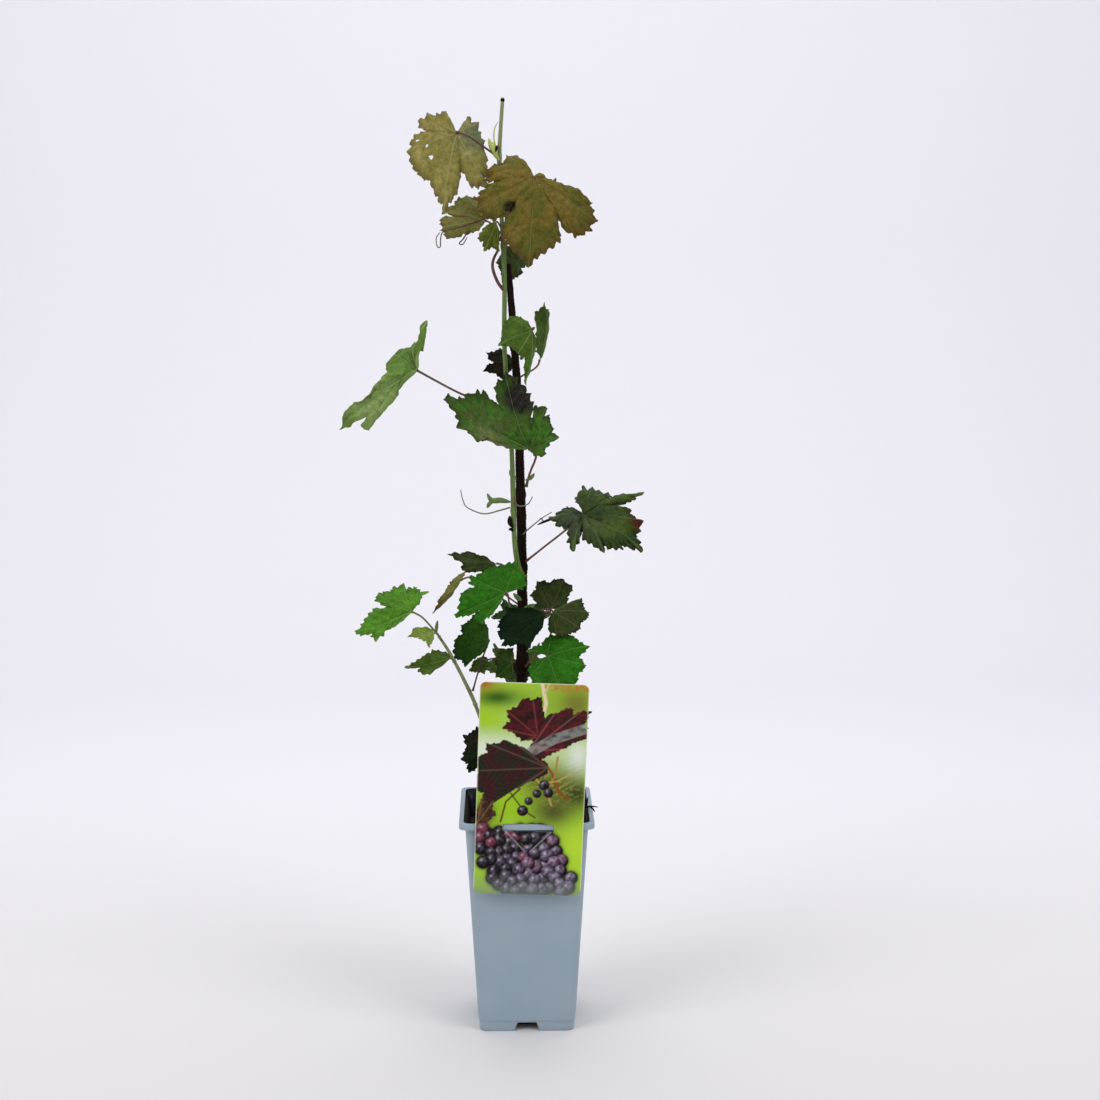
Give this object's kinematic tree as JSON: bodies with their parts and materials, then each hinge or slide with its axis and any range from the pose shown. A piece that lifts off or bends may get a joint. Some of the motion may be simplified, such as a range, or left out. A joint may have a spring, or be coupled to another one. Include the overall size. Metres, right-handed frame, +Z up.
{
  "type": "potted grapevine",
  "caption": "Young grapevine in a tall square nursery pot: one dark old stem, green shoots, lobed toothed leaves on long stalks, and a picture card on the rim.",
  "frame": {"origin": "centre of the pot's flat underside, on the surface it stands on", "axes": "+Z up along the stem, -Y towards the picture card at the front, +X to the card's right"},
  "size_m": [0.2632, 0.1248, 0.8271],
  "materials": {
    "pot": "moulded polypropylene, grey-blue, faint satin",
    "soil": "dark moist peat compost, rough",
    "card": "printed plastic card, satin gloss",
    "bark": "dark brown fibrous bark",
    "green_shoot": "smooth green one-year shoot",
    "stalk": "thin reddish leaf stalk",
    "leaf_olive": "olive yellow vine leaf",
    "leaf_bronze": "olive bronze vine leaf with reddish edge",
    "leaf_bright": "bright green vine leaf",
    "leaf_fresh": "fresh light green vine leaf",
    "leaf_green": "mid green vine leaf",
    "leaf_dark": "dark green vine leaf with maroon flush",
    "leaf_maroon": "maroon black vine leaf"
  },
  "bodies": {
    "root": {"pot": "pot", "soil": "soil", "card": "card", "trunk": "bark", "main_shoot": "green_shoot", "side_shoot": "green_shoot", "stalk_top_left": "stalk", "stalk_top_right": "stalk", "stalk_left_long": "stalk", "stalk_centre": "stalk", "stalk_right": "stalk", "stalk_bright": "stalk", "stalk_shoot_tip": "stalk", "stalk_side": "stalk", "leaf_top_left": "leaf_olive", "leaf_top_right": "leaf_bronze", "leaf_top_behind": "leaf_olive", "leaf_top_small": "leaf_fresh", "leaf_upper_dark": "leaf_dark", "leaf_mid_edge": "leaf_green", "leaf_mid_fold": "leaf_green", "leaf_mid_dark": "leaf_maroon", "leaf_left_long": "leaf_green", "leaf_centre": "leaf_green", "leaf_right": "leaf_dark", "leaf_lower_behind": "leaf_bronze", "leaf_lower_edge": "leaf_fresh", "leaf_bright": "leaf_bright", "leaf_shoot_tip": "leaf_fresh", "leaf_shoot_small": "leaf_fresh", "leaf_shoot_low": "leaf_green", "leaf_lower_left": "leaf_dark", "leaf_lower_olive": "leaf_olive", "leaf_right_olive": "leaf_bronze", "leaf_centre_deep": "leaf_dark", "leaf_right_dark": "leaf_bronze", "leaf_right_bright": "leaf_bright", "leaf_low_small": "leaf_green", "leaf_foot_left": "leaf_maroon", "leaf_foot_right": "leaf_maroon", "leaf_foot_front": "leaf_dark", "leaf_foot_behind": "leaf_green", "leaf_back_low": "leaf_green", "leaf_back_middle": "leaf_dark", "leaf_back_centre": "leaf_green", "leaf_back_top": "leaf_bronze"}
  },
  "joints": []
}
